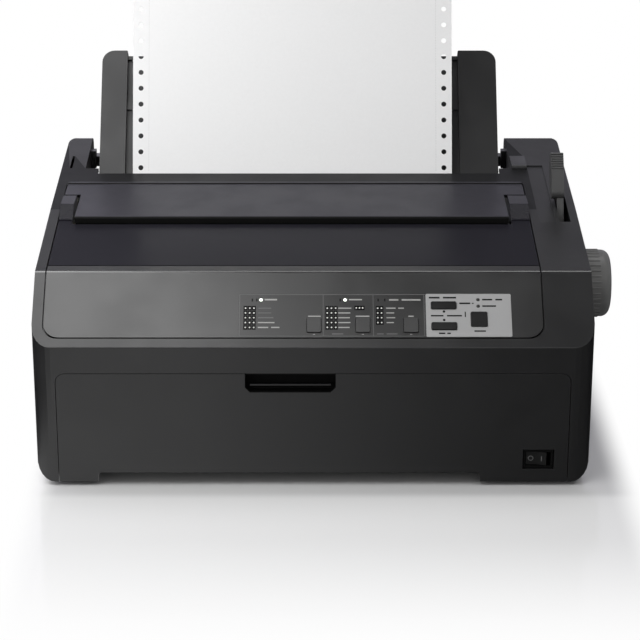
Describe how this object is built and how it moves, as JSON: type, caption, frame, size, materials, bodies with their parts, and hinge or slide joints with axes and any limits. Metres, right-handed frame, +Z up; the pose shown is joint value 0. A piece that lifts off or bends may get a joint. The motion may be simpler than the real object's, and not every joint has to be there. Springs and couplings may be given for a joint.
{
  "type": "dot matrix printer",
  "caption": "Desktop dot matrix printer with hinged covers, sloping control panel, paper feed knob, pin-feed tractors and fanfold paper rising behind it.",
  "frame": {"origin": "on the table, under the middle of the whole machine, knob included", "axes": "+X along the platen towards the knob, +Y from the front to the rear, +Z up"},
  "size_m": [0.43, 0.304, 0.3102],
  "materials": {
    "case_plastic": "fine moulded grain",
    "cover_plastic": "fine moulded grain, slightly lighter",
    "smoked_plastic": "satin, smoked",
    "panel_dark": "satin printed film",
    "key_plastic": "satin",
    "knob_plastic": "fine grain",
    "black_plastic": "satin",
    "gear_plastic": "natural acetal",
    "rubber": "ground rubber",
    "frame_steel": "galvanised sheet",
    "shaft_steel": "ground steel",
    "head_alloy": "anodised dark",
    "brass": "machined",
    "circuit": "solder mask",
    "ribbon_cloth": "woven nylon, inked",
    "paper": "uncoated"
  },
  "bodies": {
    "case": {"lower_case": "case_plastic", "upper_case": "case_plastic", "rubber_feet": "rubber", "control_fascia": "cover_plastic", "panel_overlay": "panel_dark", "panel_board": "circuit", "power_switch_frame": "black_plastic", "eject_cover": "cover_plastic", "side_frame_left": "frame_steel", "side_frame_right": "frame_steel", "platen_bushes": "gear_plastic", "feed_motor": "frame_steel", "tractor_rod": "shaft_steel", "carriage_rod": "shaft_steel", "carriage_rail": "frame_steel", "carriage_motor": "frame_steel", "ribbon_cartridge": "black_plastic", "inked_ribbon": "ribbon_cloth", "carriage_belt": "rubber", "paper_chute": "black_plastic", "main_board": "circuit", "power_supply": "frame_steel", "ac_inlet": "black_plastic", "interface_ports": "frame_steel", "fanfold_paper": "paper"},
    "front_cover": {"front_cover": "case_plastic"},
    "printer_cover": {"printer_cover": "smoked_plastic"},
    "paper_guide": {"paper_guide": "case_plastic"},
    "edge_guide_left": {"edge_guide_left": "case_plastic"},
    "edge_guide_right": {"edge_guide_right": "case_plastic"},
    "paper_release_lever": {"paper_release_lever": "knob_plastic"},
    "platen": {"platen": "rubber", "platen_shaft": "shaft_steel", "platen_knob": "knob_plastic", "platen_gear": "gear_plastic"},
    "feed_pinion": {"feed_pinion": "brass"},
    "idler_gear_front": {"idler_gear_front": "gear_plastic"},
    "idler_gear_rear": {"idler_gear_rear": "gear_plastic"},
    "tractor_shaft": {"tractor_shaft": "shaft_steel", "tractor_gear": "gear_plastic"},
    "tractor_left": {"tractor_left": "black_plastic"},
    "tractor_right": {"tractor_right": "black_plastic"},
    "tractor_lid_left": {"tractor_lid_left": "black_plastic"},
    "tractor_lid_right": {"tractor_lid_right": "black_plastic"},
    "pin_wheel_left": {"pin_wheel_left": "gear_plastic"},
    "pin_wheel_right": {"pin_wheel_right": "gear_plastic"},
    "carriage": {"carriage": "black_plastic", "print_head": "head_alloy"},
    "drive_pulley": {"drive_pulley": "brass"},
    "idler_pulley": {"idler_pulley": "brass"},
    "tension_rollers": {"tension_rollers": "rubber"},
    "thickness_lever": {"thickness_lever": "key_plastic"},
    "ribbon_knob": {"ribbon_knob": "key_plastic"},
    "power_rocker": {"power_rocker": "key_plastic"},
    "button_left": {"button_left": "key_plastic"},
    "button_middle": {"button_middle": "key_plastic"},
    "button_right": {"button_right": "key_plastic"},
    "button_load": {"button_load": "key_plastic"},
    "button_feed": {"button_feed": "key_plastic"},
    "button_pause": {"button_pause": "key_plastic"}
  },
  "joints": [
    {"name": "printer_cover_hinge", "type": "hinge", "parent": "case", "child": "printer_cover", "pos_m": [-0.014, 0.01, 0.16022], "axis": [-1, 0, 0], "range_deg": [0, 95]},
    {"name": "front_cover_hinge", "type": "hinge", "parent": "case", "child": "front_cover", "pos_m": [-0.014, -0.1486, 0.0132], "axis": [1, 0, 0], "range_deg": [0, 80]},
    {"name": "paper_guide_hinge", "type": "hinge", "parent": "case", "child": "paper_guide", "pos_m": [-0.014, 0.079, 0.15999], "axis": [-1, 0, 0], "range_deg": [0, 50]},
    {"name": "edge_guide_left_slide", "type": "slide", "parent": "paper_guide", "child": "edge_guide_left", "axis": [1, 0, 0], "range_m": [-0.045, 0.04]},
    {"name": "edge_guide_right_slide", "type": "slide", "parent": "paper_guide", "child": "edge_guide_right", "axis": [1, 0, 0], "range_m": [-0.04, 0.045]},
    {"name": "release_lever_swing", "type": "hinge", "parent": "case", "child": "paper_release_lever", "pos_m": [0.176, -0.005, 0.128], "axis": [1, 0, 0], "range_deg": [0, 28]},
    {"name": "platen_turn", "type": "hinge", "parent": "case", "child": "platen", "pos_m": [-0.014, 0.001, 0.103], "axis": [1, 0, 0], "continuous": true},
    {"name": "feed_pinion_turn", "type": "hinge", "parent": "case", "child": "feed_pinion", "pos_m": [-0.014, 0.04295, 0.07998], "axis": [1, 0, 0], "continuous": true},
    {"name": "idler_gear_front_turn", "type": "hinge", "parent": "case", "child": "idler_gear_front", "pos_m": [-0.014, 0.04295, 0.10713], "axis": [1, 0, 0], "continuous": true},
    {"name": "idler_gear_rear_turn", "type": "hinge", "parent": "case", "child": "idler_gear_rear", "pos_m": [-0.014, 0.0829, 0.11106], "axis": [1, 0, 0], "continuous": true},
    {"name": "tractor_shaft_turn", "type": "hinge", "parent": "case", "child": "tractor_shaft", "pos_m": [-0.014, 0.12286, 0.115], "axis": [1, 0, 0], "continuous": true},
    {"name": "tractor_left_slide", "type": "slide", "parent": "case", "child": "tractor_left", "axis": [1, 0, 0], "range_m": [-0.01, 0.06]},
    {"name": "tractor_right_slide", "type": "slide", "parent": "case", "child": "tractor_right", "axis": [1, 0, 0], "range_m": [-0.06, 0.01]},
    {"name": "tractor_lid_left_hinge", "type": "hinge", "parent": "tractor_left", "child": "tractor_lid_left", "pos_m": [-0.1619, 0.12286, 0.12857], "axis": [0, -1, 0], "range_deg": [0, 100]},
    {"name": "tractor_lid_right_hinge", "type": "hinge", "parent": "tractor_right", "child": "tractor_lid_right", "pos_m": [0.1008, 0.12286, 0.12857], "axis": [0, 1, 0], "range_deg": [0, 100]},
    {"name": "pin_wheel_left_turn", "type": "hinge", "parent": "tractor_left", "child": "pin_wheel_left", "pos_m": [-0.014, 0.12286, 0.115], "axis": [1, 0, 0], "continuous": true},
    {"name": "pin_wheel_right_turn", "type": "hinge", "parent": "tractor_right", "child": "pin_wheel_right", "pos_m": [-0.014, 0.12286, 0.115], "axis": [1, 0, 0], "continuous": true},
    {"name": "carriage_travel", "type": "slide", "parent": "case", "child": "carriage", "axis": [1, 0, 0], "range_m": [0, 0.203]},
    {"name": "drive_pulley_turn", "type": "hinge", "parent": "case", "child": "drive_pulley", "pos_m": [0.152, -0.064, 0.07], "axis": [0, 0, 1], "range_deg": [-30, 1900]},
    {"name": "idler_pulley_turn", "type": "hinge", "parent": "case", "child": "idler_pulley", "pos_m": [-0.172, -0.064, 0.07], "axis": [0, 0, 1], "range_deg": [-30, 1900]},
    {"name": "tension_rollers_turn", "type": "hinge", "parent": "case", "child": "tension_rollers", "pos_m": [-0.014, 0.02576, 0.14458], "axis": [1, 0, 0], "continuous": true},
    {"name": "thickness_lever_swing", "type": "hinge", "parent": "case", "child": "thickness_lever", "pos_m": [0.134, -0.044, 0.072], "axis": [1, 0, 0], "range_deg": [-15, 25]},
    {"name": "ribbon_knob_turn", "type": "hinge", "parent": "case", "child": "ribbon_knob", "pos_m": [-0.146, -0.096, 0.12], "axis": [0, 0, 1], "continuous": true},
    {"name": "power_rocker_tilt", "type": "hinge", "parent": "case", "child": "power_rocker", "pos_m": [0.1478, -0.146, 0.0207], "axis": [0, 0, 1], "range_deg": [0, 14]},
    {"name": "button_left_press", "type": "slide", "parent": "case", "child": "button_left", "axis": [0, 0.6783, -0.7348], "range_m": [0, 0.0008], "stiffness_N_per_m": 400},
    {"name": "button_middle_press", "type": "slide", "parent": "case", "child": "button_middle", "axis": [0, 0.6783, -0.7348], "range_m": [0, 0.0008], "stiffness_N_per_m": 400},
    {"name": "button_right_press", "type": "slide", "parent": "case", "child": "button_right", "axis": [0, 0.6783, -0.7348], "range_m": [0, 0.0008], "stiffness_N_per_m": 400},
    {"name": "button_load_press", "type": "slide", "parent": "case", "child": "button_load", "axis": [0, 0.6783, -0.7348], "range_m": [0, 0.0008], "stiffness_N_per_m": 400},
    {"name": "button_feed_press", "type": "slide", "parent": "case", "child": "button_feed", "axis": [0, 0.6783, -0.7348], "range_m": [0, 0.0008], "stiffness_N_per_m": 400},
    {"name": "button_pause_press", "type": "slide", "parent": "case", "child": "button_pause", "axis": [0, 0.6783, -0.7348], "range_m": [0, 0.0008], "stiffness_N_per_m": 400}
  ],
  "couplings": [
    {"joint": "idler_gear_front_turn", "follows": "platen_turn", "ratio": -1.1},
    {"joint": "feed_pinion_turn", "follows": "platen_turn", "ratio": 3.1429},
    {"joint": "idler_gear_rear_turn", "follows": "platen_turn", "ratio": 1.1},
    {"joint": "tractor_shaft_turn", "follows": "platen_turn", "ratio": -1.1},
    {"joint": "pin_wheel_left_turn", "follows": "platen_turn", "ratio": -1.1},
    {"joint": "pin_wheel_right_turn", "follows": "platen_turn", "ratio": -1.1},
    {"joint": "drive_pulley_turn", "follows": "carriage_travel", "rad_per_m": 156.25},
    {"joint": "idler_pulley_turn", "follows": "carriage_travel", "rad_per_m": 156.25}
  ]
}
